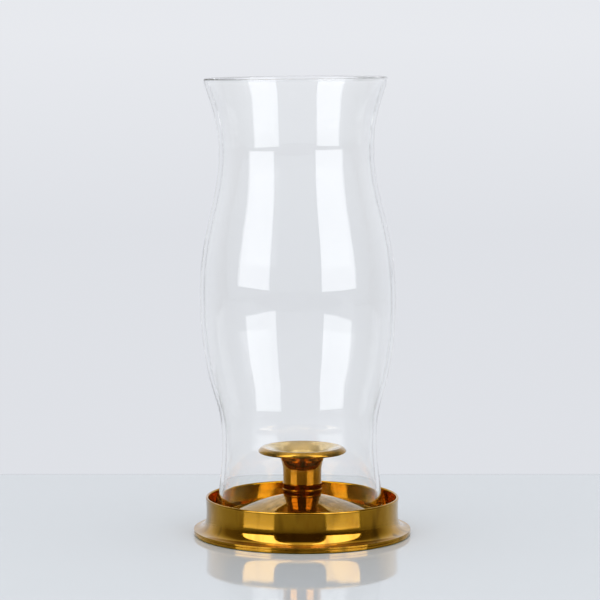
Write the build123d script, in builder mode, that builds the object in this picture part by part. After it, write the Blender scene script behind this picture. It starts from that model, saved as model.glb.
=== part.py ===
"""Hurricane candle lantern: a turned brass base that holds one taper candle,
and a blown glass chimney that stands loose in the channel around the dish.

Millimetres, +Z up. The origin is on the table, on the axis of the brass base.
"""
from build123d import *

import os
from math import cos, radians, sin

os.makedirs("parts", exist_ok=True)

# ---------------------------------------------------------------- clearances
seat_gap = 0.3  # air under the chimney's foot
foot_slack_outside = 5.3  # chimney foot to the inside of the brass ring
foot_slack_inside = 0.35  # dish to the nearest inside of the chimney foot
plate_clearance = 0.1  # dish plate in the ring
felt_clearance = 0.2  # felt in its recess
thread_gap = 0.05  # screw in its tapped hole
screw_clearance = 0.15  # screw through the plate and the washers

# ------------------------------------------------------------- glass chimney
glass_wall = 2.8
foot_radius = 60.4  # outside, as every change of radius above it
knee_change = -3.6  # each point's radius, less the foot's
neck_change = -6.0
hip_change = -2.0
bulge_change = 8.2
waist_change = -6.4
flare_change = -1.5
rim_change = 3.4
knee_rise = 27.8  # each point's height above the one before it
neck_rise = 33.4
hip_rise = 29.8
bulge_rise = 69.8
waist_rise = 103.4
flare_rise = 32.0
rim_rise = 18.0
foot_flare = 7.0  # degrees from upright, at the foot
hip_slope = 18.0  # degrees from upright, under the bulge
rim_flare = 12.0  # degrees from upright, at the rim
bulge_fullness = 1.4  # above 1, the bulge's crest is flatter on its upper side
chimney_lean = 0.6  # degrees: the blown foot isn't quite square
chimney_offset = 1.3  # how far the loose foot stands off the base's axis

# ------------------------------------------------------------ brass base ring
foot_gap = 0.4  # air under the brass, where the felt carries it
ring_wall = 1.7
rim_height = 26.4
rim_lip = 0.35  # how far the rim is turned outwards
rim_lip_height = 1.8
cove_radius = 8.2
flange_edge = 3.5
flange_corner = 0.4
edge_step = 0.25
edge_step_height = 1.0
ledge_width = 5.6  # what the dish plate stands on
ledge_top = 3.0

# ----------------------------------------------------------------- dish plate
plate_thickness = 1.5
plug_height = 10.4  # channel floor to the dish's edge
dome_rise = 12.3  # dish's edge to the candle cup's seat
dome_crown = 0.8  # how far the cone bulges
bead_radius = 0.7
bead_groove = 0.5
channel_fillet = 1.0

# ----------------------------------------------------------------- candle cup
candle_bore_radius = 11.25
cup_wall = 2.15
cup_floor = 5.2
tapped_floor = 0.8  # brass left between the tapped hole and the socket
barrel_taper = 0.7  # the barrel's foot is this much smaller
line_heights = (4.7, 8.8)
line_radius = 0.45
flare_start = 16.0  # height at which the barrel turns into the trumpet
flare_swell = 1.6  # growth of the trumpet's radius over the swell
swell_rise = 9.4
swell_slope = 22.0  # degrees from upright, at the top of the swell
pan_overhang = 17.5  # pan's edge past the barrel
pan_edge_rise = 6.3  # top of the swell to the pan's edge
pan_edge_round = 1.3
pan_lip_width = 4.6
pan_lip_rise = 2.8
bowl_depth = 11.7  # pan's crest to the top of the straight socket
bowl_shelf_depth = 3.7  # and to the shoulder inside the pan
bowl_shelf_width = 6.35
cup_bottom_round = 0.4

# ------------------------------------------------------- screw, washers, felt
screw_radius = 2.5
screw_tip_room = 0.3
head_radius = 4.5
head_height = 3.0
head_round = 0.8
slot_width = 1.2
slot_depth = 1.3
washer_radius = 5.0
washer_thickness = 1.0
spring_washer_radius = 4.4
spring_washer_thickness = 1.2
spring_washer_cut = 0.9
spring_washer_slant = 20.0
felt_thickness = 1.4
felt_width = 14.0

# ---------------------------------------------------------- worked-out places
ring_inner = foot_radius + foot_slack_outside
ring_outer = ring_inner + ring_wall
cove_outer = ring_outer + cove_radius
flange_radius = cove_outer + flange_corner
flange_top = foot_gap + flange_edge
cove_top = flange_top + cove_radius
felt_recess_radius = flange_radius - edge_step - flange_corner - felt_clearance
lean = radians(chimney_lean)
foot_narrowing = -knee_change * plug_height / knee_rise  # over the dish's height
foot_shift = chimney_offset + plug_height * sin(lean)
plug_radius = foot_radius - glass_wall - foot_narrowing - foot_shift - foot_slack_inside
channel_floor = ledge_top + plate_thickness
dish_edge = channel_floor + plug_height
cup_seat = dish_edge + dome_rise
barrel_radius = candle_bore_radius + cup_wall
barrel_foot_radius = barrel_radius - barrel_taper
tapped_depth = cup_floor - tapped_floor
screw_engagement = tapped_depth - screw_tip_room
swell_height = flare_start + swell_rise
pan_edge_height = swell_height + pan_edge_rise
cup_height = pan_edge_height + pan_lip_rise
pan_radius = barrel_radius + pan_overhang
plate_underside = cup_seat - plate_thickness
washer_bottom = plate_underside - washer_thickness
spring_washer_bottom = washer_bottom - spring_washer_thickness
chimney_seat = channel_floor + seat_gap

# ------------------------------------------- base ring: turned from thick tube
with BuildPart() as base_ring:
    with BuildSketch(Plane.XZ):
        with BuildLine():
            cove_middle = cove_radius * (1 - cos(radians(45)))
            lip_base = rim_height - (ring_wall + rim_lip) / 2
            under = Polyline(
                (ring_inner, lip_base),
                (ring_inner, ledge_top),
                (ring_inner - ledge_width, ledge_top),
                (ring_inner - ledge_width, felt_thickness),
                (felt_recess_radius, felt_thickness),
                (felt_recess_radius, foot_gap),
                (flange_radius - edge_step, foot_gap),
                (flange_radius - edge_step, foot_gap + edge_step_height),
                (flange_radius, foot_gap + edge_step_height),
                (flange_radius, flange_top - flange_corner),
                (cove_outer, flange_top),
            )
            cove = ThreePointArc(
                under @ 1,
                (ring_outer + cove_middle, flange_top + cove_middle),
                (ring_outer, cove_top),
            )
            wall = Polyline(
                cove @ 1,
                (ring_outer, rim_height - rim_lip_height),
                (ring_outer + rim_lip, lip_base),
            )
            ThreePointArc(
                wall @ 1,
                (ring_inner + (ring_wall + rim_lip) / 2, rim_height),
                under @ 0,
            )
        make_face()
    revolve(axis=Axis.Z)
base_ring.part.label = "base_ring"

# ------------------ dish plate: spun sheet, channel floor and raised low cone
with BuildPart() as dish_plate:
    with BuildSketch(Plane.XZ):
        with BuildLine():
            cone_foot = plug_radius - 2 * bead_radius - bead_groove
            cone_middle = (cone_foot + barrel_radius) / 2
            bead_top = dish_edge - bead_radius
            screw_hole = screw_radius + screw_clearance
            floor_line = Polyline(
                (ring_inner - plate_clearance, ledge_top),
                (ring_inner - plate_clearance, channel_floor),
                (plug_radius + channel_fillet, channel_floor),
            )
            corner = RadiusArc(
                floor_line @ 1,
                (plug_radius, channel_floor + channel_fillet),
                channel_fillet,
            )
            side = Line(corner @ 1, (plug_radius, bead_top))
            bead = ThreePointArc(
                side @ 1,
                (plug_radius - bead_radius, dish_edge),
                (plug_radius - 2 * bead_radius, bead_top),
            )
            groove = Line(bead @ 1, (cone_foot, dish_edge))
            cone = ThreePointArc(
                groove @ 1,
                (cone_middle, (dish_edge + cup_seat) / 2 + dome_crown),
                (barrel_radius, cup_seat),
            )
            seat = Polyline(
                cone @ 1,
                (screw_hole, cup_seat),
                (screw_hole, plate_underside),
                (barrel_radius, plate_underside),
            )
            under_cone = ThreePointArc(
                seat @ 1,
                (cone_middle, (dish_edge + cup_seat) / 2 + dome_crown - plate_thickness),
                (plug_radius - plate_thickness, dish_edge - plate_thickness),
            )
            Polyline(under_cone @ 1, (plug_radius - plate_thickness, ledge_top), floor_line @ 0)
        make_face()
    revolve(axis=Axis.Z)
dish_plate.part.label = "dish_plate"


# -------------------- candle cup: turned barrel, trumpet, drip pan and socket
def barrel_at(height):
    """Radius of the barrel's side, which narrows slightly towards its foot."""
    return barrel_foot_radius + barrel_taper * min(height / flare_start, 1)


with BuildPart() as candle_cup:
    with BuildSketch(Plane(origin=(0, 0, cup_seat), x_dir=(1, 0, 0), z_dir=(0, -1, 0))):
        with BuildLine():
            tapped_radius = screw_radius + thread_gap
            swell_turn = radians(swell_slope)
            bottom = Polyline(
                (0, tapped_depth),
                (tapped_radius, tapped_depth),
                (tapped_radius, 0),
                (barrel_foot_radius - cup_bottom_round, 0),
                (barrel_foot_radius, cup_bottom_round),
                (barrel_at(flare_start), flare_start),
            )
            swell = (barrel_radius + flare_swell, swell_height)
            trumpet = Spline(bottom @ 1, swell, tangents=[(0, 1), (sin(swell_turn), cos(swell_turn))])
            under_pan = Spline(
                trumpet @ 1,
                (pan_radius - pan_edge_round, pan_edge_height - pan_edge_round),
                tangents=[(sin(swell_turn), cos(swell_turn)), (1, 0)],
                tangent_scalars=(0.6, 1),
            )
            edge = RadiusArc(under_pan @ 1, (pan_radius, pan_edge_height), -pan_edge_round)
            crest_radius = pan_radius - pan_lip_width
            lip_round = (pan_lip_width**2 + pan_lip_rise**2) / (2 * pan_lip_rise)
            lip = RadiusArc(edge @ 1, (crest_radius, cup_height), -lip_round)
            bowl = Spline(
                lip @ 1,
                (candle_bore_radius + bowl_shelf_width, cup_height - bowl_shelf_depth),
                (candle_bore_radius, cup_height - bowl_depth),
                tangents=[(-1, 0), (0, -1)],
                tangent_scalars=(0.5, 1),
            )
            Polyline(
                bowl @ 1,
                (candle_bore_radius, cup_floor),
                (0, cup_floor),
                (0, tapped_depth),
            )
        make_face()
        with Locations(*[(barrel_at(height), height) for height in line_heights]):
            Circle(line_radius)
    revolve(axis=Axis.Z)
candle_cup.part.label = "candle_cup"

# ------------------------------- cup screw: slotted round head, from beneath
with BuildPart() as cup_screw:
    with BuildSketch(Plane.XY.offset(spring_washer_bottom - head_height)):
        Circle(head_radius)
    extrude(amount=head_height)
    fillet(cup_screw.edges().group_by(Axis.Z)[0], radius=head_round)
    with BuildSketch(Plane.XY.offset(spring_washer_bottom - head_height)):
        Rectangle(3 * head_radius, slot_width)
    extrude(amount=slot_depth, mode=Mode.SUBTRACT)
    with BuildSketch(Plane.XY.offset(spring_washer_bottom)):
        Circle(screw_radius)
    extrude(amount=cup_seat + screw_engagement - spring_washer_bottom)
cup_screw.part.label = "cup_screw"

# ------------------------------------------- flat washer and split spring one
with BuildPart() as flat_washer:
    with BuildSketch(Plane.XY.offset(washer_bottom)):
        Circle(washer_radius)
        Circle(screw_radius + screw_clearance, mode=Mode.SUBTRACT)
    extrude(amount=washer_thickness)
flat_washer.part.label = "flat_washer"

with BuildPart() as spring_washer:
    with BuildSketch(Plane.XY.offset(spring_washer_bottom)):
        Circle(spring_washer_radius)
        Circle(screw_radius + screw_clearance, mode=Mode.SUBTRACT)
    extrude(amount=spring_washer_thickness)
    with BuildSketch(Plane.XY.offset(spring_washer_bottom - spring_washer_thickness)):
        with Locations((spring_washer_radius, 0)):
            Rectangle(2 * spring_washer_radius, spring_washer_cut)
    extrude(
        amount=3 * spring_washer_thickness,
        dir=(0, sin(radians(spring_washer_slant)), cos(radians(spring_washer_slant))),
        mode=Mode.SUBTRACT,
    )
spring_washer.part.label = "spring_washer"

# --------------------------------------- felt ring: glued in the flange's foot
with BuildPart() as felt_ring:
    with BuildSketch(Plane.XY):
        Circle(felt_recess_radius - felt_clearance)
        Circle(felt_recess_radius - felt_clearance - felt_width, mode=Mode.SUBTRACT)
    extrude(amount=felt_thickness)
felt_ring.part.label = "felt_ring"

# ----------------------------- glass chimney: blown, open at the foot and rim
chimney_plane = Plane(
    origin=(-chimney_offset, 0, chimney_seat),
    x_dir=(cos(lean), 0, sin(lean)),
    z_dir=(0, -1, 0),
)
foot_allowance = 2 * foot_radius * sin(lean)  # ground away, to stand flat
foot_turn = radians(foot_flare)
hip_turn = radians(hip_slope)
rim_turn = radians(rim_flare)
upright = (0, 1)


def chimney_side(depth):
    """One side of the wall, this deep inside the outer surface, from foot to rim."""
    radius = foot_radius - depth
    neck_height = knee_rise + neck_rise
    hip_height = neck_height + hip_rise
    bulge_height = hip_height + bulge_rise
    waist_height = bulge_height + waist_rise
    flare_height = waist_height + flare_rise
    foot_end = Line((radius, -foot_allowance), (radius, 0))
    foot = Spline(
        foot_end @ 1,
        (radius + knee_change, knee_rise),
        (radius + neck_change, neck_height),
        tangents=[(-sin(foot_turn), cos(foot_turn)), upright],
    )
    hip = Spline(
        foot @ 1,
        (radius + hip_change, hip_height),
        tangents=[upright, (sin(hip_turn), cos(hip_turn))],
    )
    bulge = Spline(
        hip @ 1,
        (radius + bulge_change, bulge_height),
        tangents=[(sin(hip_turn), cos(hip_turn)), upright],
    )
    waist = Spline(
        bulge @ 1,
        (radius + waist_change, waist_height),
        tangents=[upright, upright],
        tangent_scalars=[bulge_fullness, 1.0],
    )
    rim = Spline(
        waist @ 1,
        (radius + flare_change, flare_height),
        (
            foot_radius + rim_change - depth * cos(rim_turn),
            flare_height + rim_rise - glass_wall / 2 + depth * sin(rim_turn),
        ),
        tangents=[upright, (sin(rim_turn), cos(rim_turn))],
    )
    return foot_end @ 0, rim @ 1


with BuildPart() as glass_chimney:
    with BuildSketch(chimney_plane):
        with BuildLine():
            outer_foot, outer_rim = chimney_side(0)
            inner_foot, inner_rim = chimney_side(glass_wall)
            Line(outer_foot, inner_foot)
            rim_crown = Vector(sin(rim_turn), cos(rim_turn)) * (glass_wall / 2)
            ThreePointArc(outer_rim, (outer_rim + inner_rim) / 2 + rim_crown, inner_rim)
        make_face()
    revolve(axis=Axis(chimney_plane.origin, chimney_plane.y_dir))
    split(bisect_by=Plane.XY.offset(chimney_seat), keep=Keep.TOP)
glass_chimney.part.label = "glass_chimney"

# --------------------------------------------------------------------- export
for piece in (
    base_ring,
    dish_plate,
    candle_cup,
    cup_screw,
    flat_washer,
    spring_washer,
    felt_ring,
    glass_chimney,
):
    export_step(piece.part, f"parts/{piece.part.label}.step")
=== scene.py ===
"""Hurricane candle lantern, finished: polished brass turnings, a blown chimney and a pale studio."""
import math

import bmesh
import bpy
from mathutils import Matrix, Vector
from mathutils.geometry import interpolate_bezier


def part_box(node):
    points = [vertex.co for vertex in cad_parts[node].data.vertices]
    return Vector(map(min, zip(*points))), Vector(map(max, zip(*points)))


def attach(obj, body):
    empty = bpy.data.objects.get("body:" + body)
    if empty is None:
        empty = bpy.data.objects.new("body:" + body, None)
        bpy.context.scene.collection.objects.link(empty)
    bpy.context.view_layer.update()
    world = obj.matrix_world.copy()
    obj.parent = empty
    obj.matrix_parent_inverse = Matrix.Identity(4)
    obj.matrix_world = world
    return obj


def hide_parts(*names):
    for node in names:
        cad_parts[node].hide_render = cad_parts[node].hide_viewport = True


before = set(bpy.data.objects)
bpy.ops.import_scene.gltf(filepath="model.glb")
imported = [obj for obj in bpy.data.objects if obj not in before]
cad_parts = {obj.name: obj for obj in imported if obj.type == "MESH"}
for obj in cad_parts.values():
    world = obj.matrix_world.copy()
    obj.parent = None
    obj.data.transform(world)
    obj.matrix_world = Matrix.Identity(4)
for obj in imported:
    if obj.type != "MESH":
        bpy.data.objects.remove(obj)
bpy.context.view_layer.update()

# ------------------------------------------------------------------ the camera
# A long lens, level with the chimney's rim and a little above it, under two metres away.
# It looks slightly down at the lantern's middle, with no shift and no depth of field.
MM = 0.001
camera_back = 1818 * MM
camera_height = 349.7 * MM
camera_left = 1.55 * MM
camera_tilt = math.radians(5.815)
lens_length = 157.4
sensor_width = 36.0

camera_data = bpy.data.cameras.new("lantern_camera")
camera_data.lens = lens_length
camera_data.sensor_width = sensor_width
camera_data.clip_start = 0.1
camera_data.clip_end = 50.0
camera = bpy.data.objects.new("lantern_camera", camera_data)
camera.location = (-camera_left, -camera_back, camera_height)
camera.rotation_euler = (math.pi / 2 - camera_tilt, 0, 0)
bpy.context.scene.collection.objects.link(camera)
bpy.context.scene.camera = camera

bpy.context.scene.cycles.max_bounces = 24
bpy.context.scene.cycles.glossy_bounces = 16
bpy.context.scene.cycles.transmission_bounces = 24

# A little more contrast in the dark tones, and most of all in the blue of them, so that
# the shaded brass stays deep and warm.
dark_curve = ((0.05, 0.034), (0.15, 0.120), (0.35, 0.315), (0.7, 0.7))
blue_curve = ((0.02, 0.008), (0.06, 0.036), (0.2, 0.18), (0.6, 0.6))
whole_channel = 3
blue_channel = 2
view = bpy.context.scene.view_settings
view.view_transform = "Standard"
view.use_curve_mapping = True
for channel, curve in ((whole_channel, dark_curve), (blue_channel, blue_curve)):
    for scene_light, shown_light in curve:
        view.curve_mapping.curves[channel].points.new(scene_light, shown_light)
view.curve_mapping.update()


# ------------------------------------------------------------------ the studio
# Pale table with its far edge behind the lantern, a pale room beyond, and two tall
# curved diffusers in front, left and right, that the brass and the glass mirror.
room_colour = (0.735, 0.752, 0.790, 1)
room_pale = (0.80, 0.815, 0.85, 1)
room_dark = (0.075, 0.048, 0.028, 1)
room_front_side = (0.10, 0.08, 0.06, 1)
room_side = (0.20, 0.17, 0.14, 1)
room_top = (1.05, 1.04, 1.02, 1)
room_stops = (  # what is mirrored, from the camera's side, 0, round to the back, 1
    (0.06, room_dark),
    (0.30, room_front_side),
    (0.60, room_side),
    (0.86, room_colour),
)
top_fade = (0.75, 0.95)  # upward part of the direction, where the pale ceiling begins
wall_fade = (-0.075, -0.003)  # the same, where the wall behind turns paler
glass_lift = 0.09  # how much brighter the room looks through the chimney
table_colour = (0.76, 0.79, 0.80, 1)
table_edge_colour = (0.70, 0.725, 0.735, 1)
table_edge_width = 8 * MM
table_gloss = 0.05
table_far_edge = 250 * MM
table_near_edge = -1600 * MM
table_half_width = 2200 * MM
table_thickness = 18 * MM
table_edge_round = 2 * MM
diffuser_distance = 1.5
diffuser_low = 6.6  # degrees above the table
diffuser_high = 80.0
diffuser_spans = ((-73, -33), (28, 71))  # degrees round from the camera's side
diffuser_light = 2.7
diffuser_colour = (0.99, 1.0, 1.03, 1)
diffuser_steps = 24
lamp_power = 6.0
lamp_size = 1.2
lamp_places = ((-1.5, -1.1, 1.7), (1.5, -1.1, 1.7))


class Wire:
    """One output of a node. Arithmetic on wires and numbers adds Math nodes."""

    def __init__(self, recipe, socket):
        self.recipe = recipe
        self.socket = socket

    def __add__(self, other):
        return self.recipe.maths("ADD", self, other)

    def __radd__(self, other):
        return self.recipe.maths("ADD", other, self)

    def __sub__(self, other):
        return self.recipe.maths("SUBTRACT", self, other)

    def __rsub__(self, other):
        return self.recipe.maths("SUBTRACT", other, self)

    def __mul__(self, other):
        return self.recipe.maths("MULTIPLY", self, other)

    def __rmul__(self, other):
        return self.recipe.maths("MULTIPLY", other, self)

    def __pow__(self, other):
        return self.recipe.maths("POWER", self, other)

    def __rpow__(self, other):
        return self.recipe.maths("POWER", other, self)


class Recipe:
    """A node tree, written node by node."""

    def __init__(self, tree):
        self.tree = tree
        tree.nodes.clear()

    def node(self, kind, settings=None, sockets=None, output=0):
        """Adds a node: its settings first, then the value or wire of each named socket."""
        node = self.tree.nodes.new("ShaderNode" + kind)
        for name, value in (settings or {}).items():
            if name == "stops":
                ramp = node.color_ramp
                while len(ramp.elements) < len(value):
                    ramp.elements.new(1.0)
                for element, (place, colour) in zip(ramp.elements, value):
                    element.position = place
                    element.color = colour
            else:
                setattr(node, name, value)
        for name, value in (sockets or {}).items():
            if isinstance(value, Wire):
                self.tree.links.new(value.socket, node.inputs[name])
            else:
                node.inputs[name].default_value = value
        return Wire(self, node.outputs[output]) if node.outputs else None

    def maths(self, operation, *values):
        """One Math node, from its operation and its values or wires."""
        sockets = dict(enumerate(values))
        return self.node("Math", {"operation": operation}, sockets)

    def fade(self, value, start, end, first=0.0, last=1.0):
        """First up to start, then an even change that reaches last at end."""
        return self.node("MapRange", sockets={0: value, 1: start, 2: end, 3: first, 4: last})

    def blend(self, factor, first, second):
        """One colour turning into another."""
        settings = {"data_type": "RGBA"}
        return self.node("Mix", settings, {0: factor, 6: first, 7: second}, 2)


def finish_named(name):
    """A new material and its recipe."""
    material = bpy.data.materials.new(name)
    material.use_nodes = True
    return material, Recipe(material.node_tree)


def add_piece(name, work, material, smooth=True):
    """Makes a bmesh into an object at the origin, with one material."""
    mesh = bpy.data.meshes.new(name)
    for face in work.faces:
        face.smooth = smooth
    work.to_mesh(mesh)
    work.free()
    mesh.materials.append(material)
    piece = bpy.data.objects.new(name, mesh)
    bpy.context.scene.collection.objects.link(piece)
    return piece


world = bpy.data.worlds.new("pale_room")
bpy.context.scene.world = world
world.use_nodes = True
world.cycles.sampling_method = "NONE"
room = Recipe(world.node_tree)
look = room.node("TexCoord", output="Generated")
toward = room.node("SeparateXYZ", sockets={0: look}, output="Y")
mirrored = room.maths("MINIMUM", room.node("LightPath", output="Glossy Depth"), 1)
upward = room.node("SeparateXYZ", sockets={0: look}, output="Z")
front_to_back = room.node("ValToRGB", {"stops": room_stops}, {0: toward * 0.5 + 0.5})
surround = room.blend(room.fade(upward, *top_fade), front_to_back, room_top)
wall = room.blend(room.fade(upward, *wall_fade), room_colour, room_pale)
seen = room.blend(mirrored, wall, surround)
# The glass walls mirror away a little of the room's light, and this gives it back.
through_glass = room.maths("MINIMUM", room.node("LightPath", output="Transmission Depth"), 1)
brighter = through_glass * (1 - mirrored) * glass_lift + 1
lifted = room.node("VectorMath", {"operation": "SCALE"}, {0: seen, "Scale": brighter})
backdrop = room.node("Background", sockets={"Color": lifted, "Strength": 1.0})
room.node("OutputWorld", sockets={"Surface": backdrop})

table_finish, paint = finish_named("table_lacquer")
depth = paint.node("SeparateXYZ", sockets={0: paint.node("TexCoord", output="Object")}, output="Y")
edging = paint.maths("GREATER_THAN", depth, table_far_edge - table_edge_width)
gloss = paint.node(
    "BsdfPrincipled",
    sockets={
        "Base Color": paint.blend(edging, table_colour, table_edge_colour),
        "Roughness": table_gloss,
        "Specular IOR Level": 0.5,
    },
)
paint.node("OutputMaterial", sockets={"Surface": gloss})

work = bmesh.new()
bmesh.ops.create_cube(
    work,
    size=1.0,
    matrix=Matrix.Translation(
        (0, (table_near_edge + table_far_edge) / 2, -table_thickness / 2)
    )
    @ Matrix.Diagonal(
        (2 * table_half_width, table_far_edge - table_near_edge, table_thickness, 1)
    ),
)
bmesh.ops.bevel(
    work,
    geom=work.edges[:],
    offset=table_edge_round,
    segments=3,
    profile=0.5,
    material=-1,
    affect="EDGES",
)
table = add_piece("table_top", work, table_finish, smooth=False)

diffuser_finish, paint = finish_named("diffuser_cloth")
mirrored = paint.maths("MINIMUM", paint.node("LightPath", output="Glossy Depth"), 1)
glow = paint.node("Emission", sockets={"Color": diffuser_colour, "Strength": diffuser_light})
clear = paint.node("BsdfTransparent")
shown = paint.node("MixShader", sockets={0: mirrored, 1: clear, 2: glow})
paint.node("OutputMaterial", sockets={"Surface": shown})
diffuser_finish.cycles.emission_sampling = "NONE"

for side, (first_turn, last_turn) in zip(("left", "right"), diffuser_spans):
    work = bmesh.new()
    rise = [
        math.radians(diffuser_low + (diffuser_high - diffuser_low) * step / diffuser_steps)
        for step in range(diffuser_steps + 1)
    ]
    strip = [
        work.verts.new((0, -diffuser_distance * math.cos(up), diffuser_distance * math.sin(up)))
        for up in rise
    ]
    edges = [work.edges.new(pair) for pair in zip(strip, strip[1:])]
    start = Matrix.Rotation(math.radians(first_turn), 4, "Z")
    bmesh.ops.transform(work, matrix=start, verts=strip)
    bmesh.ops.spin(
        work,
        geom=strip + edges,
        axis=(0, 0, 1),
        cent=(0, 0, 0),
        angle=math.radians(last_turn - first_turn),
        steps=diffuser_steps,
    )
    diffuser = add_piece(f"{side}_diffuser", work, diffuser_finish)
    diffuser.visible_camera = False
    diffuser.visible_diffuse = False
    diffuser.visible_shadow = False

for side, place in zip(("left", "right"), lamp_places):
    lamp_data = bpy.data.lights.new(f"{side}_lamp", "AREA")
    lamp_data.size = lamp_size
    lamp_data.energy = lamp_power
    lamp = bpy.data.objects.new(f"{side}_lamp", lamp_data)
    lamp.location = place
    lamp.rotation_euler = (-Vector(place)).to_track_quat("-Z", "Y").to_euler()
    lamp.visible_camera = False
    lamp.visible_glossy = False
    lamp.visible_transmission = False
    bpy.context.scene.collection.objects.link(lamp)

# --------------------------------------------------------------- the base ring
# Thick brass tube turned to a thin ring wall on a coved foot flange. The rim is rounded
# and turned slightly outwards, and the flange has a fine step above the table.
flange_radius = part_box("base_ring")[1].x
ring_rim_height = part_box("base_ring")[1].z
brass_foot_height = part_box("base_ring")[0].z
dish_seat_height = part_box("dish_plate")[0].z
felt_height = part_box("felt_ring")[1].z
cove_radius = 8.2 * MM
cove_rise = 14.0 * MM
cove_pulls = (0.40, 0.68)  # how firmly the cove leaves the flange, and meets the wall
flange_corner = 0.4 * MM
flange_edge = 3.5 * MM
edge_step = 0.25 * MM
edge_step_height = 1.0 * MM
edge_groove = (1.7 * MM, 0.6 * MM, 0.35 * MM)  # height, width, depth
ring_wall = 1.7 * MM
wall_lean = math.radians(1.7)
rim_lip = 0.35 * MM
rim_lip_height = 1.8 * MM
ledge_width = 5.6 * MM
felt_recess_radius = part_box("felt_ring")[1].x + 0.2 * MM
corner_ease = 0.3 * MM
spin_steps = 240
on_axis = 0.01 * MM
touching = 0.001 * MM
brass_colour = (0.50, 0.262, 0.030, 1)
brass_worn = (0.59, 0.330, 0.052, 1)
brass_tarnish = (0.38, 0.160, 0.006, 1)
# painted dark reflection: the colour of the upright dark streaks
brass_reflected_dark = (0.20, 0.095, 0.010, 1)
# partly dust and wear, partly a painted reflection of the pale room: the bowl's pale colour
brass_bowl_wear_and_sheen = (0.72, 0.54, 0.27, 1)
# painted shade and reflection: the darker, more orange brass of the stem under the pan
brass_under_pan_shade = (0.54, 0.200, 0.008, 1)
# painted reflection: the brighter orange of the ring's inside
brass_inner_painted_light = (0.70, 0.390, 0.024, 1)
stem_shade_radii = (20 * MM, 24 * MM)  # the candle cup's stem below the pan, coloured darker and more orange: painted shade and painted reflection of the brass round it
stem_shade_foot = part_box("candle_cup")[0].z + 0.1 * MM
pan_underside_heights = (57.6 * MM, 59.1 * MM)
bowl_pale_radii = (24 * MM, 28 * MM)  # the pan's bowl, coloured pale: partly dust and wear, partly a painted reflection of the pale room above
socket_split = (12.4 * MM, 50.5 * MM, 0.85)  # radius, height and slope between in and out
inner_light_radius = 60 * MM  # from here to the ring's wall: the ring's inside, coloured brighter as a painted reflection
inner_light_depth = 0.3 * MM


def arc(centre, radius, start, end, steps=8):
    """Points on an arc of an outline. Angles in degrees: 0 is outwards and 90 is up."""
    turns = [math.radians(start + (end - start) * step / steps) for step in range(steps + 1)]
    return [(centre[0] + radius * math.cos(t), centre[1] + radius * math.sin(t)) for t in turns]


def swept(start, start_turn, end, end_turn, steps=12, start_pull=1 / 3, end_pull=1 / 3):
    """Points on one smooth curve of an outline. Turns are from upright, towards the outside."""
    start, end = Vector(start), Vector(end)
    reach = (end - start).length
    leave = Vector((math.sin(start_turn), math.cos(start_turn))) * reach * start_pull
    arrive = Vector((math.sin(end_turn), math.cos(end_turn))) * reach * end_pull
    curve = interpolate_bezier(start, start + leave, end - arrive, end, steps + 1)
    return [tuple(point) for point in curve]


def eased(points, radius, steps=3):
    """A closed outline with its corners rounded, each by this radius or what its sides allow."""
    rounded = []
    for index, corner in enumerate(points):
        here = Vector(corner)
        before = Vector(points[index - 1]) - here
        after = Vector(points[(index + 1) % len(points)]) - here
        reach = min(radius, before.length / 3, after.length / 3)
        if abs(here.x) < on_axis or before.angle(after) > math.radians(150):
            rounded.append(corner)
            continue
        begin = here + before.normalized() * reach
        end = here + after.normalized() * reach
        for step in range(steps + 1):
            share = step / steps
            bend = begin.lerp(here, share).lerp(here.lerp(end, share), share)
            rounded.append((bend.x, bend.y))
    return rounded


def turned(name, outline, material):
    """Spins a closed outline of (radius, height) points round the lantern's axis."""
    work = bmesh.new()
    corners = [work.verts.new((radius, 0, height)) for radius, height in outline]
    sides = [
        work.edges.new((corners[index - 1], corner))
        for index, corner in enumerate(corners)
        if corner.co.x + corners[index - 1].co.x > on_axis  # no side lies along the axis
    ]
    bmesh.ops.spin(
        work,
        geom=corners + sides,
        cent=(0, 0, 0),
        axis=(0, 0, 1),
        angle=math.tau,
        steps=spin_steps,
        use_merge=True,
    )
    bmesh.ops.remove_doubles(work, verts=work.verts, dist=touching)
    bmesh.ops.dissolve_degenerate(work, edges=work.edges, dist=touching)
    bmesh.ops.recalc_face_normals(work, faces=work.faces)
    piece = add_piece(name, work, material)
    even = piece.modifiers.new("even_shading", "WEIGHTED_NORMAL")
    even.keep_sharp = True
    even.weight = 100
    return piece


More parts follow.
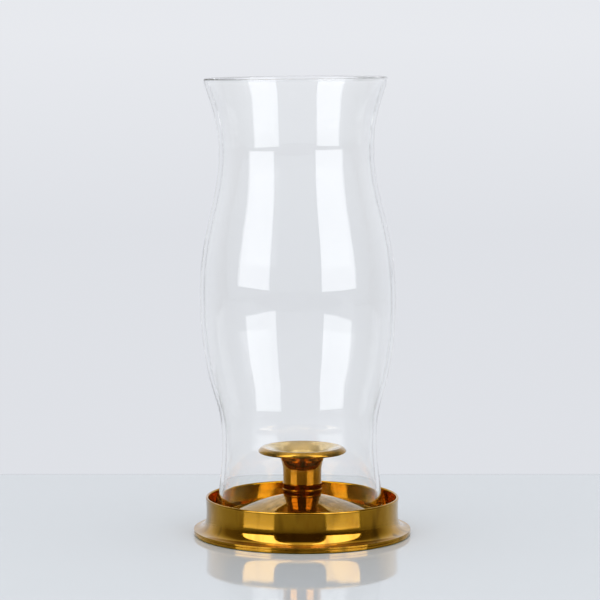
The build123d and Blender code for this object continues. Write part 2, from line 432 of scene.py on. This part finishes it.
def polished_brass():
    """Lacquered brass with lathe rings, hand polishing, upright clouds of tarnish, upright
    streaks of painted dark reflection, and pin-head spots. The cup's stem under the pan carries
    painted shade and painted orange reflection, its bowl is pale from wear and from a painted
    reflection of the room above, and the ring's inside is coloured bright as a painted reflection."""
    material, metal = finish_named("polished_brass")
    place = metal.node("TexCoord", output="Object")
    across, along, height = (
        metal.node("SeparateXYZ", sockets={0: place}, output=axis) for axis in "XYZ"
    )
    radius = (across * across + along * along) ** 0.5
    lathe_place = metal.node("CombineXYZ", sockets={0: radius, 1: height, 2: 0.0})
    rings = metal.node(
        "TexNoise",
        {"noise_dimensions": "3D"},
        {"Vector": lathe_place, "Scale": 2600.0, "Detail": 3.0, "Roughness": 0.6},
    )
    upright = metal.node("Mapping", sockets={"Vector": place, "Scale": (1.0, 1.0, 0.3)})
    clouds = metal.node(
        "TexNoise", sockets={"Vector": upright, "Scale": 34.0, "Detail": 4.0, "Roughness": 0.6}
    )
    smears = metal.node(
        "TexNoise", sockets={"Vector": place, "Scale": 90.0, "Detail": 4.0, "Roughness": 0.7}
    )
    spots = metal.node("TexVoronoi", sockets={"Vector": place, "Scale": 240.0})
    pin_head = metal.fade(spots, 0.05, 0.16, 1.0, 0.0)
    patch = metal.fade(clouds, 0.50, 0.62)
    # Painted shade: the cup's stem under the pan, outside the socket, is coloured darker and more
    # orange for the shade it stands in and the brass it mirrors.
    near_axis = metal.fade(radius, *stem_shade_radii, 1.0, 0.0)
    over_pan = metal.fade(height, *pan_underside_heights)
    above_dish = metal.maths("GREATER_THAN", height, stem_shade_foot)
    above_socket = metal.maths("MAXIMUM", height - socket_split[1], 0)
    in_socket = metal.maths("LESS_THAN", radius, above_socket * socket_split[2] + socket_split[0])
    painted_stem_shade = near_axis * above_dish * (1 - over_pan) * (1 - in_socket)
    # The pan's bowl is paler: partly dust and wear, partly a painted reflection of the pale room
    # above.
    in_bowl = metal.fade(radius, *bowl_pale_radii, 1.0, 0.0)
    bowl_wear_and_sheen = in_bowl * metal.maths("MAXIMUM", over_pan, in_socket)
    # Painted reflection: the ring's inside is coloured a brighter orange brass for the light its
    # brass mirrors.
    past_dish = metal.maths("GREATER_THAN", radius, inner_light_radius)
    painted_inner_light = past_dish * metal.maths("LESS_THAN", radius, ring_inner + inner_light_depth)
    # Painted dark reflections: upright streaks of darker brass stand for dark bands mirrored in the
    # polished metal.
    streaks = metal.node(
        "TexNoise", sockets={"Vector": upright, "Scale": 75.0, "Detail": 2.0, "Roughness": 0.5}
    )
    painted_dark_streaks = metal.fade(streaks, 0.50, 0.68, 0.0, 0.75)
    spotted = pin_head * patch
    worn = metal.blend(smears, brass_colour, brass_worn)
    clouded = metal.blend(patch * 0.6, worn, brass_tarnish)
    streaky = metal.blend(painted_dark_streaks, clouded, brass_reflected_dark)
    spotty = metal.blend(spotted * 0.55, streaky, brass_tarnish)
    inside = metal.blend(painted_inner_light * 0.45, spotty, brass_inner_painted_light)
    stem = metal.blend(painted_stem_shade * 0.7, inside, brass_under_pan_shade)
    colour = metal.blend(bowl_wear_and_sheen * 0.8, stem, brass_bowl_wear_and_sheen)
    roughness = 0.045 + smears * 0.04 + patch * 0.03 + rings * 0.03
    polish = metal.node("TexNoise", sockets={"Vector": place, "Scale": 70.0, "Detail": 1.0})
    hand = metal.node(
        "Bump", sockets={"Strength": 1.0, "Distance": 0.12 * MM, "Height": polish}
    )
    relief = metal.node(
        "Bump",
        sockets={
            "Strength": 0.35,
            "Distance": 0.012 * MM,
            "Height": rings + spotted * -1.5,
            "Normal": hand,
        },
    )
    shader = metal.node(
        "BsdfPrincipled",
        sockets={
            "Base Color": colour,
            "Metallic": 1.0,
            "Roughness": roughness,
            "Normal": relief,
            "Coat Weight": 0.6,
            "Coat Roughness": 0.05,
            "Coat IOR": 1.5,
        },
    )
    metal.node("OutputMaterial", sockets={"Surface": shader})
    return material


cove_outer = flange_radius - flange_corner
ring_outer = cove_outer - cove_radius
ring_inner = ring_outer - ring_wall
brass = polished_brass()
flange_top = brass_foot_height + flange_edge
rim_round = (ring_wall + rim_lip) / 2
rim_centre = (ring_inner + rim_round, ring_rim_height - rim_round)
cove_top = flange_top + cove_rise
wall_top = ring_rim_height - rim_lip_height
wall_narrowing = (wall_top - cove_top) * math.tan(wall_lean)
groove_low = brass_foot_height + edge_groove[0]
groove_high = groove_low + edge_groove[1]
ring_foot = eased(
    [
        (ring_inner, dish_seat_height),
        (ring_inner - ledge_width, dish_seat_height),
        (ring_inner - ledge_width, felt_height),
        (felt_recess_radius, felt_height),
        (felt_recess_radius, brass_foot_height),
        (flange_radius - edge_step, brass_foot_height),
        (flange_radius - edge_step, brass_foot_height + edge_step_height),
        (flange_radius, brass_foot_height + edge_step_height),
        (flange_radius, groove_low),
        (flange_radius - edge_groove[2], groove_low + edge_groove[1] / 3),
        (flange_radius - edge_groove[2], groove_high - edge_groove[1] / 3),
        (flange_radius, groove_high),
        (flange_radius, flange_top),
        (cove_outer, flange_top),
    ],
    corner_ease,
)
cove_end = (ring_outer - wall_narrowing, cove_top)
ring_outline = (
    ring_foot
    + swept((cove_outer, flange_top), -math.pi / 2, cove_end, wall_lean, 40, *cove_pulls)[1:]
    + [(ring_outer, wall_top)]
    + arc(rim_centre, rim_round, 0, 180, steps=12)
)
base_ring = turned("brass_base_ring", ring_outline, brass)
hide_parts("base_ring")
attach(base_ring, "base")

# -------------------------------------------------------------- the dish plate
# Spun from sheet brass: the flat channel floor that the glass stands on, and the raised
# low cone inside it, with a rolled bead and a fine groove round the cone's edge.
plate_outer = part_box("dish_plate")[1].x
cup_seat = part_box("dish_plate")[1].z
plate_thickness = 1.5 * MM
plug_radius = 54.5 * MM
dish_rise = 10.4 * MM
dome_crown = 0.8 * MM
bead_radius = 0.7 * MM
bead_groove = 0.5 * MM
channel_fillet = 1.0 * MM
seat_radius = 13.4 * MM
screw_hole = 2.65 * MM


def bowed(start, end, crown, steps=16):
    """Points from start to end on a shallow curve that bulges upwards by crown."""
    start, end = Vector(start), Vector(end)
    points = []
    for step in range(steps + 1):
        share = step / steps
        lift = Vector((0, 4 * crown * share * (1 - share)))
        points.append(tuple(start.lerp(end, share) + lift))
    return points


channel_floor = dish_seat_height + plate_thickness
dish_edge = channel_floor + dish_rise
cone_foot = plug_radius - 2 * bead_radius - bead_groove
plate_under = cup_seat - plate_thickness
corner_centre = (plug_radius + channel_fillet, channel_floor + channel_fillet)
bead_centre = (plug_radius - bead_radius, dish_edge - bead_radius)
dish_outline = (
    [(plate_outer, dish_seat_height), (plate_outer, channel_floor)]
    + arc(corner_centre, channel_fillet, 270, 180, steps=6)
    + arc(bead_centre, bead_radius, 0, 180, steps=10)
    + bowed((cone_foot, dish_edge), (seat_radius, cup_seat), dome_crown, steps=40)
    + [(screw_hole, cup_seat), (screw_hole, plate_under)]
    + bowed(
        (seat_radius, plate_under),
        (plug_radius - plate_thickness, dish_edge - plate_thickness),
        dome_crown,
        steps=24,
    )
    + [(plug_radius - plate_thickness, dish_seat_height)]
)
dish_plate = turned("brass_dish_plate", dish_outline, brass)
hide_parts("dish_plate")
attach(dish_plate, "base")

# -------------------------------------------------------------- the candle cup
# One solid turning: a barrel with two fine raised lines, a trumpet that opens into a wide
# drip pan with a rolled-over edge, and the straight socket that a dinner candle stands in.
cup_foot, cup_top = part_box("candle_cup")
pan_radius = cup_top.x
cup_height = cup_top.z - cup_foot.z
socket_radius = 11.25 * MM
barrel_radius = 13.4 * MM
barrel_taper = 0.1 * MM
barrel_chamfer = 1.2 * MM
barrel_ease = 0.4 * MM
socket_floor = 5.2 * MM
tapped_radius = 2.55 * MM
tapped_depth = 4.4 * MM
line_heights = (4.7 * MM, 8.8 * MM)
line_reach = 0.40 * MM  # how far each line stands out
line_undercut = 0.25 * MM
line_slope = 0.55 * MM  # how far above its crest each line dies into the barrel
flare_start = 16.0 * MM
flare_swell = 1.6 * MM
swell_height = 25.4 * MM
swell_slope = math.radians(22)
pan_edge_height = 31.7 * MM
pan_edge_round = 1.3 * MM
pan_lip_width = 4.6 * MM
pan_lip_rise = 2.8 * MM
bowl_depth = 11.7 * MM
bowl_shelf = (17.6 * MM, 30.8 * MM)
bowl_slope = math.radians(58)


def raised(points, height):
    """The same outline, moved up."""
    return [(radius, level + height) for radius, level in points]


def barrel_at(level):
    """The barrel's radius at this height: a little less at the foot."""
    return barrel_radius - barrel_taper * (1 - min(level / flare_start, 1))


barrel = [(barrel_at(0), 0)]
for level in line_heights:
    face = barrel_at(level)
    barrel += [(face, level - line_undercut), (face + 0.9 * line_reach, level - line_undercut / 3)]
    barrel += bowed((face + line_reach, level), (face, level + line_slope), 0, steps=4)
barrel.append((barrel_at(flare_start), flare_start))
barrel_foot = [
    (barrel_at(0) - barrel_chamfer, 0),
    (barrel_at(0), 0),
    (barrel_at(0), barrel_chamfer),
]
swell = (barrel_radius + flare_swell, swell_height)
pan_under = (pan_radius - pan_edge_round, pan_edge_height - pan_edge_round)
lip_round = (pan_lip_width**2 + pan_lip_rise**2) / (2 * pan_lip_rise)
lip_centre = (pan_radius - pan_lip_width, pan_edge_height + pan_lip_rise - lip_round)
lip_start = math.degrees(math.asin((lip_round - pan_lip_rise) / lip_round))
crest = (pan_radius - pan_lip_width, cup_height)
socket_top = (socket_radius, cup_height - bowl_depth)
cup_outline = (
    [(0, tapped_depth), (tapped_radius, tapped_depth), (tapped_radius, 0)]
    + eased(barrel_foot, barrel_ease)[1:-1]
    + barrel[1:]
    + swept(barrel[-1], 0, swell, swell_slope)[1:]
    + swept(swell, swell_slope, pan_under, math.pi / 2, steps=20, start_pull=0.2)[1:]
    + arc((pan_under[0], pan_edge_height), pan_edge_round, -90, 0, steps=8)[1:]
    + arc(lip_centre, lip_round, lip_start, 90, steps=14)[1:]
    + swept(crest, -math.pi / 2, bowl_shelf, -math.pi + bowl_slope, steps=14, start_pull=0.2)[1:]
    + swept(bowl_shelf, -math.pi + bowl_slope, socket_top, -math.pi, steps=14)[1:]
    + [(socket_radius, socket_floor), (0, socket_floor)]
)
candle_cup = turned("brass_candle_cup", raised(cup_outline, cup_foot.z), brass)
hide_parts("candle_cup")
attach(candle_cup, "base")

# -------------------------------------------------------- the screw and washers
# A slotted round-head screw from beneath, a flat washer and a split spring washer, all
# zinc plated. They hold the candle cup on the dish plate and are seen only from below.
zinc_pale = (0.60, 0.61, 0.60, 1)
zinc_dull = (0.42, 0.43, 0.44, 1)


def zinc_plate():
    """Bright zinc plating, with a cloudy passivated bloom."""
    material, metal = finish_named("zinc_plate")
    place = metal.node("TexCoord", output="Object")
    bloom = metal.node(
        "TexNoise", sockets={"Vector": place, "Scale": 900.0, "Detail": 4.0, "Roughness": 0.6}
    )
    grain = metal.node("TexNoise", sockets={"Vector": place, "Scale": 5200.0, "Detail": 2.0})
    relief = metal.node(
        "Bump", sockets={"Strength": 0.3, "Distance": 0.02 * MM, "Height": grain}
    )
    shader = metal.node(
        "BsdfPrincipled",
        sockets={
            "Base Color": metal.blend(bloom, zinc_pale, zinc_dull),
            "Metallic": 1.0,
            "Roughness": 0.28 + bloom * 0.2,
            "Normal": relief,
        },
    )
    metal.node("OutputMaterial", sockets={"Surface": shader})
    return material


zinc = zinc_plate()
for name in ("cup_screw", "flat_washer", "spring_washer"):
    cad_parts[name].material_slots[0].material = zinc

# ---------------------------------------------------------------- the felt ring
# Dark pressed wool, glued in the recess under the flange. It stands a little proud of
# the brass, so that the metal never touches the table.
felt_dark = (0.018, 0.026, 0.020, 1)
felt_light = (0.050, 0.066, 0.052, 1)


def pressed_felt():
    """Matted wool: a fine fibre mottle, with a soft sheen."""
    material, wool = finish_named("pressed_felt")
    place = wool.node("TexCoord", output="Object")
    fibres = wool.node(
        "TexNoise",
        sockets={
            "Vector": place,
            "Scale": 2400.0,
            "Detail": 6.0,
            "Roughness": 0.75,
            "Distortion": 1.5,
        },
    )
    mottle = wool.node("TexNoise", sockets={"Vector": place, "Scale": 260.0, "Detail": 3.0})
    relief = wool.node(
        "Bump", sockets={"Strength": 0.8, "Distance": 0.15 * MM, "Height": fibres}
    )
    shader = wool.node(
        "BsdfPrincipled",
        sockets={
            "Base Color": wool.blend(fibres * 0.6 + mottle * 0.4, felt_dark, felt_light),
            "Roughness": 0.95,
            "Sheen Weight": 0.4,
            "Normal": relief,
        },
    )
    wool.node("OutputMaterial", sockets={"Surface": shader})
    return material


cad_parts["felt_ring"].material_slots[0].material = pressed_felt()

# ------------------------------------------------------------ the glass chimney
# Clear glass, blown in a mould: a flared foot and mouth, a waist under each and a gentle
# bulge between. The rim is fire polished. It stands loose, leans a little and isn't fixed.
glass_low, glass_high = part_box("glass_chimney")
glass_wall = 2.8 * MM
glass_lean = math.radians(0.6)
glass_offset = 1.3 * MM
glass_foot_radius = 60.4 * MM
glass_tint = (0.995, 1.0, 0.999, 1)
lamp_tint = (0.97, 0.98, 0.98, 1)  # what the lamps' light keeps on its way through
edge_fade = (0.80, 0.95, 0.85)  # from and to, turned away from view, and how far it goes
crown_fade = (2.6 * MM, 1.6 * MM, 0.65)  # from and to, below the rim, and how far it goes
glass_outline_points = (
    # radius less the foot's, height above the foot, turn from upright, pull on the way up
    (0.0 * MM, 0.0 * MM, -7.0, 1 / 3),
    (-3.6 * MM, 27.8 * MM, -6.8, 1 / 3),
    (-6.0 * MM, 61.2 * MM, 0.0, 1 / 3),
    (-2.0 * MM, 91.0 * MM, 18.0, 1 / 3),
    (8.2 * MM, 160.8 * MM, 0.0, 1.4 / 3),
    (-6.4 * MM, 264.2 * MM, 0.0, 1 / 3),
    (-1.5 * MM, 296.2 * MM, 17.0, 1 / 3),
    (3.4 * MM, 312.8 * MM, 12.0, 1 / 3),
)
foot_allowance = 2 * glass_foot_radius * math.sin(glass_lean)  # cut away by the flat foot


def chimney_side(depth):
    """One side of the wall from foot to rim, this deep inside the outer surface."""
    foot_turn = math.radians(glass_outline_points[0][2])
    below = glass_foot_radius - depth - foot_allowance * math.tan(foot_turn)
    points = [(below, -foot_allowance)]
    for lower, upper in zip(glass_outline_points, glass_outline_points[1:]):
        start, end = (
            (glass_foot_radius + point[0] - depth, point[1]) for point in (lower, upper)
        )
        turns = [math.radians(point[2]) for point in (lower, upper)]
        points += swept(start, turns[0], end, turns[1], 14, start_pull=lower[3])[:-1]
    rim_turn = math.radians(glass_outline_points[-1][2])
    rim_radius = glass_foot_radius + glass_outline_points[-1][0] - depth * math.cos(rim_turn)
    rim_height = glass_outline_points[-1][1] + depth * math.sin(rim_turn)
    return points + [(rim_radius, rim_height)]


def clear_glass():
    """Clear soda glass, very slightly uneven, that lets the lamps' light straight through.
    Where it is seen edge on, and at the fire-polished rim, it fades towards plain air, so
    that its outline is a thin grey line and not a black one."""
    material, melt = finish_named("blown_glass")
    place = melt.node("TexCoord", output="Object")
    stretched = melt.node("Mapping", sockets={"Vector": place, "Scale": (1.0, 1.0, 0.35)})
    ripple = melt.node("TexNoise", sockets={"Vector": stretched, "Scale": 26.0, "Detail": 1.5})
    relief = melt.node(
        "Bump", sockets={"Strength": 0.25, "Distance": 1.2 * MM, "Height": ripple}
    )
    shader = melt.node(
        "BsdfPrincipled",
        sockets={
            "Base Color": glass_tint,
            "Roughness": 0.0,
            "IOR": 1.47,
            "Transmission Weight": 1.0,
            "Normal": relief,
        },
    )
    clear = melt.node("BsdfTransparent", sockets={"Color": lamp_tint})
    lamp_ray = melt.node("LightPath", output="Is Shadow Ray")
    edge_on = melt.node("LayerWeight", sockets={"Blend": 0.5}, output="Facing")
    fading = melt.fade(edge_on, edge_fade[0], edge_fade[1], 0.0, edge_fade[2])
    height = melt.node("SeparateXYZ", sockets={0: place}, output="Z")
    crown_start, crown_end = (glass_high.z - below for below in crown_fade[:2])
    crown = melt.fade(height, crown_start, crown_end, 0.0, crown_fade[2])
    plain = melt.maths("MAXIMUM", fading, crown)
    thin = melt.node("BsdfTransparent", sockets={"Color": (1, 1, 1, 1)})
    seen = melt.node("MixShader", sockets={0: plain, 1: shader, 2: thin})
    shown = melt.node("MixShader", sockets={0: lamp_ray, 1: seen, 2: clear})
    melt.node("OutputMaterial", sockets={"Surface": shown})
    return material


outer_side = chimney_side(0)
inner_side = chimney_side(glass_wall)
crown_centre = (Vector(outer_side[-1]) + Vector(inner_side[-1])) / 2
crown_turn = glass_outline_points[-1][2]
crown = arc(crown_centre, glass_wall / 2, -crown_turn, 180 - crown_turn, steps=10)
chimney_outline = outer_side[:-1] + crown + inner_side[-2::-1]
chimney = turned("glass_chimney_blown", chimney_outline, clear_glass())
chimney.data.transform(
    Matrix.Translation((-glass_offset, 0, glass_low.z)) @ Matrix.Rotation(-glass_lean, 4, "Y")
)

# The foot is cut level with its seat, so that the leaning chimney stands on all of it.
work = bmesh.new()
work.from_mesh(chimney.data)
cut = bmesh.ops.bisect_plane(
    work,
    geom=work.verts[:] + work.edges[:] + work.faces[:],
    dist=touching,
    plane_co=(0, 0, glass_low.z),
    plane_no=(0, 0, 1),
    clear_inner=True,
)
cut_edges = [item for item in cut["geom_cut"] if isinstance(item, bmesh.types.BMEdge)]
bmesh.ops.bridge_loops(work, edges=cut_edges)
bmesh.ops.recalc_face_normals(work, faces=work.faces)
for face in work.faces:
    face.smooth = True
work.to_mesh(chimney.data)
work.free()
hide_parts("glass_chimney")
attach(chimney, "chimney")
